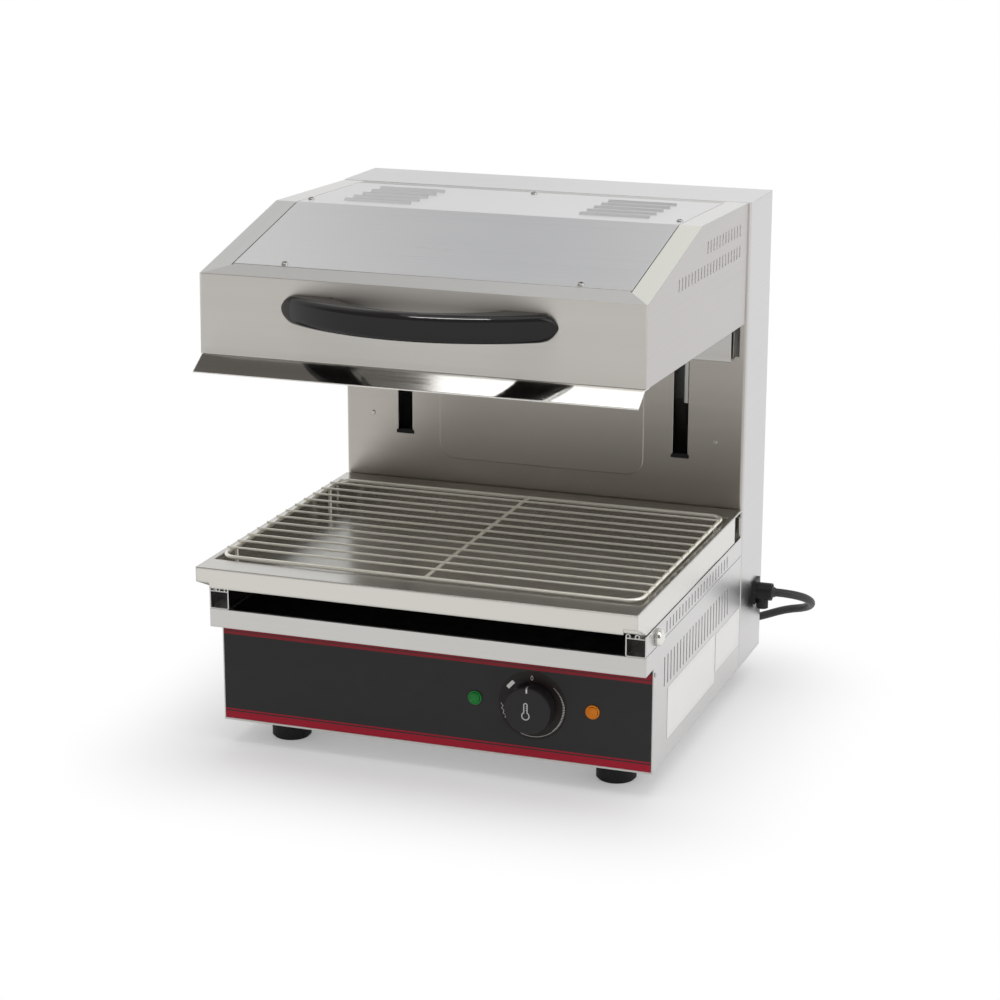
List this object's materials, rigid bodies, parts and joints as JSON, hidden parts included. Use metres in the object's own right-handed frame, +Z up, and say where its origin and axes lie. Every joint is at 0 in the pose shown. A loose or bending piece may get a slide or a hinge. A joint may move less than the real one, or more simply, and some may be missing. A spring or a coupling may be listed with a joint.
{
  "type": "salamander grill",
  "caption": "Counter-top electric salamander grill in stainless sheet: heated head that lifts on a rear column, wire rack over a pull-out drip tray, knob and lamps in the base.",
  "frame": {"origin": "on the counter the feet stand on, under the middle of the object's box without its mains lead", "axes": "+Z up; the front with the handle and the controls faces -Y; +X is the right side seen from the front"},
  "size_m": [0.517, 0.6398, 0.5358],
  "materials": {
    "brushed_sheet": "brushed stainless sheet",
    "polished_sheet": "mirror-polished stainless sheet",
    "black_enamel": "matt black enamel",
    "printed_fascia": "black film with red lines and white dial marks",
    "zinc_steel": "plain zinc-plated steel",
    "thermostat_case": "satin",
    "green_lens": "clear green, ribbed",
    "orange_lens": "clear orange, ribbed",
    "terminal_ceramic": "glazed",
    "cable_sheath": "satin black rubber",
    "black_rubber": "matt black rubber",
    "white_label": "satin white film",
    "ground_rod": "ground bright",
    "bush_brass": "turned",
    "black_plastic": "satin black moulding",
    "handle_black": "glossy black moulding",
    "mineral_wool": "pressed mineral wool",
    "element_sheath": "oxidised alloy tube",
    "spring_steel": "drawn wire",
    "rack_wire": "polished stainless wire"
  },
  "bodies": {
    "base": {"base_bottom": "brushed_sheet", "side_panel_left": "brushed_sheet", "side_panel_right": "brushed_sheet", "control_panel": "brushed_sheet", "fascia_sheet": "printed_fascia", "nose_trim": "brushed_sheet", "deck_plate": "black_enamel", "rail_left": "brushed_sheet", "rail_right": "brushed_sheet", "rail_screws": "polished_sheet", "thermostat": "thermostat_case", "lamp_green": "green_lens", "lamp_orange": "orange_lens", "terminal_block": "terminal_ceramic", "wiring": "cable_sheath", "foot_front_left": "black_rubber", "foot_front_right": "black_rubber", "foot_rear_left": "black_rubber", "foot_rear_right": "black_rubber", "foot_screws": "zinc_steel", "side_labels": "white_label", "column_wrap": "brushed_sheet", "column_top": "brushed_sheet", "column_back": "brushed_sheet", "back_screws": "zinc_steel", "panel_rivets": "zinc_steel", "guide_rods": "ground_rod", "top_bracket": "zinc_steel", "bottom_bracket": "zinc_steel", "slot_stops": "black_rubber", "head_lead": "cable_sheath", "cord_gland": "black_plastic", "cord_sleeve": "cable_sheath", "cord_tube": "cable_sheath", "cord_coil": "cable_sheath", "plug": "black_plastic"},
    "head": {"carriage_plate": "zinc_steel", "bushings": "bush_brass", "arm_left": "zinc_steel", "arm_right": "zinc_steel", "head_shell": "brushed_sheet", "head_back": "brushed_sheet", "head_cover": "brushed_sheet", "cover_screws": "zinc_steel", "deflector": "polished_sheet", "handle": "handle_black", "handle_screws": "zinc_steel", "reflector": "polished_sheet", "insulation": "mineral_wool", "element_front": "element_sheath", "element_middle": "element_sheath", "element_rear": "element_sheath", "element_bracket_left": "zinc_steel", "element_bracket_right": "zinc_steel", "spring_left": "spring_steel", "spring_right": "spring_steel"},
    "tray": {"drip_tray": "brushed_sheet"},
    "rack": {"wire_rack": "rack_wire"},
    "control_knob": {"knob": "black_plastic", "spindle": "bush_brass"}
  },
  "joints": [
    {"name": "head_lift", "type": "slide", "parent": "base", "child": "head", "axis": [0, 0, 1], "range_m": [-0.13, 0], "deforming": ["spring_left", "spring_right", "head_lead"]},
    {"name": "tray_slide", "type": "slide", "parent": "base", "child": "tray", "axis": [0, -1, 0], "range_m": [0, 0.2]},
    {"name": "rack_lift", "type": "slide", "parent": "tray", "child": "rack", "axis": [0, 0, 1], "range_m": [0, 0.04]},
    {"name": "knob_turn", "type": "hinge", "parent": "base", "child": "control_knob", "pos_m": [0.104, -0.166, 0.0835], "axis": [0, 1, 0], "range_deg": [0, 300]}
  ]
}
